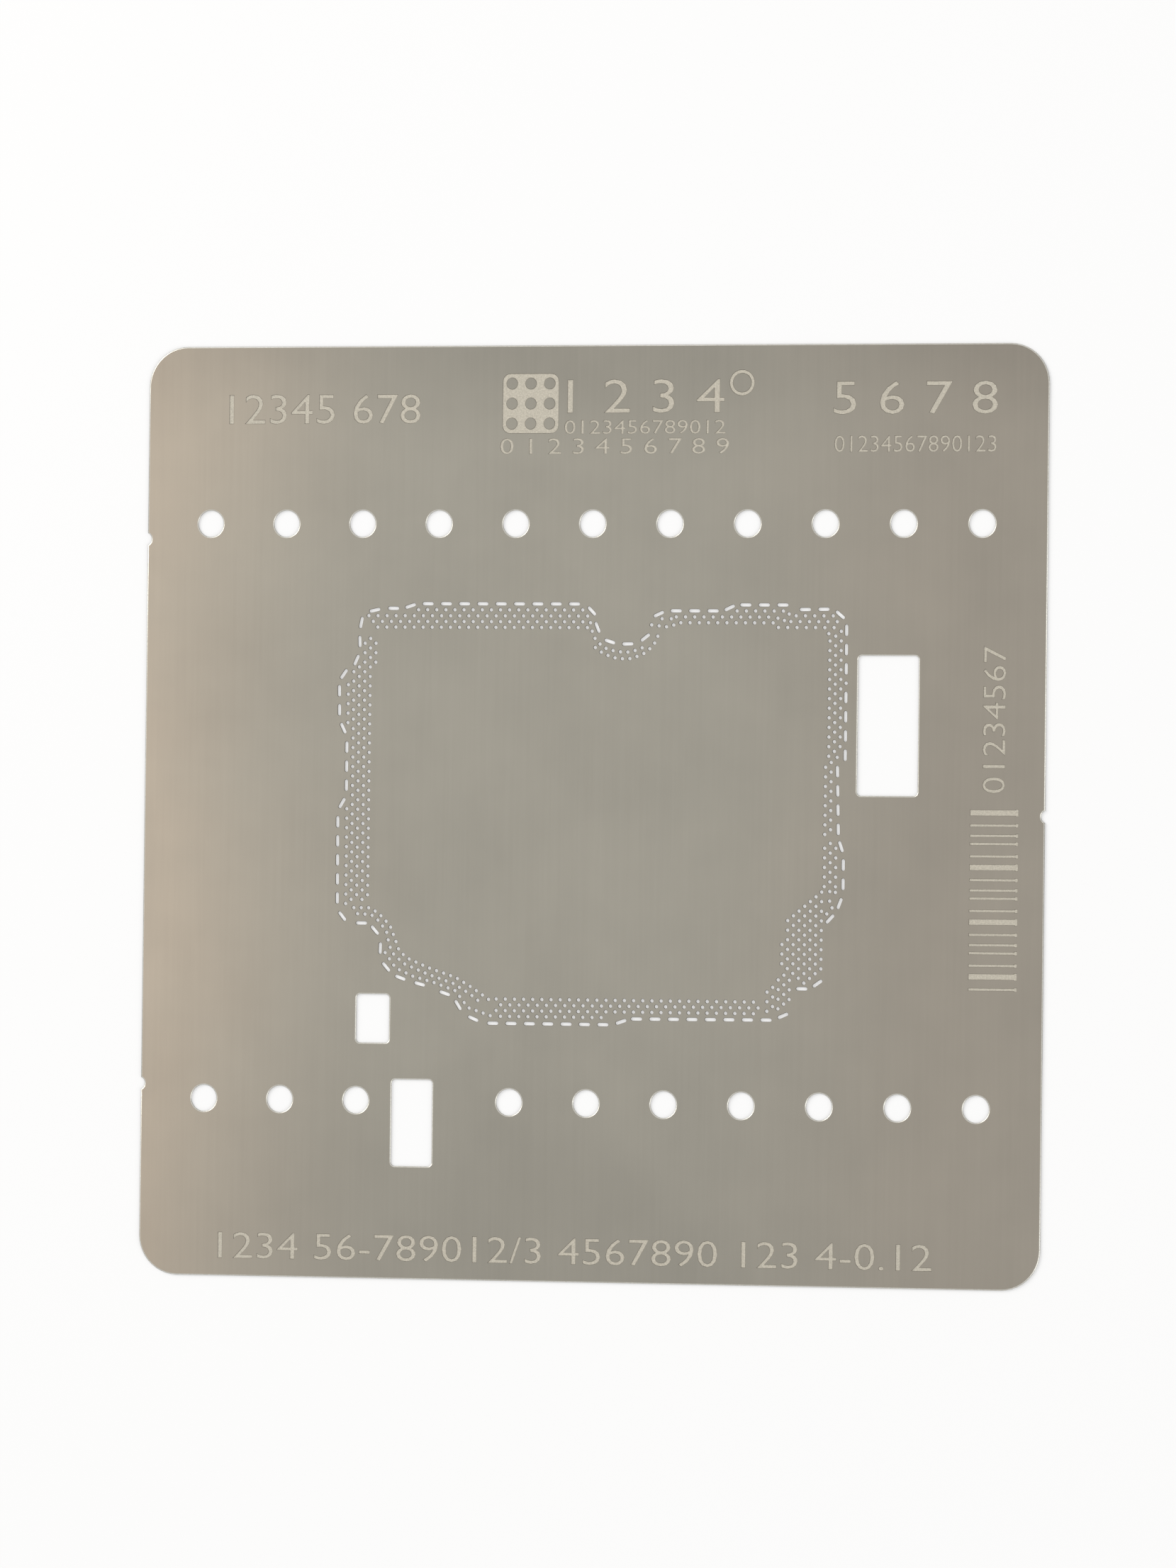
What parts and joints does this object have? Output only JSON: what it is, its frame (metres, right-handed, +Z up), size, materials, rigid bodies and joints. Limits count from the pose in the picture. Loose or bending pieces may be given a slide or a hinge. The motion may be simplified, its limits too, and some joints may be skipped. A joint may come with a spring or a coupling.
{
  "type": "solder paste stencil",
  "caption": "Flat steel stencil sheet for wiping solder paste through fine apertures onto the pads of a spacer frame between two circuit boards.",
  "frame": {"origin": "centre of the square sheet, on its underside", "axes": "+Z up through the sheet towards the etched face, +X along the two rows of vent holes towards the tall window, +Y across the rows towards the etched heading"},
  "size_m": [0.07, 0.07, 0.0001],
  "materials": {
    "sheet": "satin rolled stainless steel"
  },
  "bodies": {
    "root": {"stencil_sheet": "sheet"}
  },
  "joints": []
}
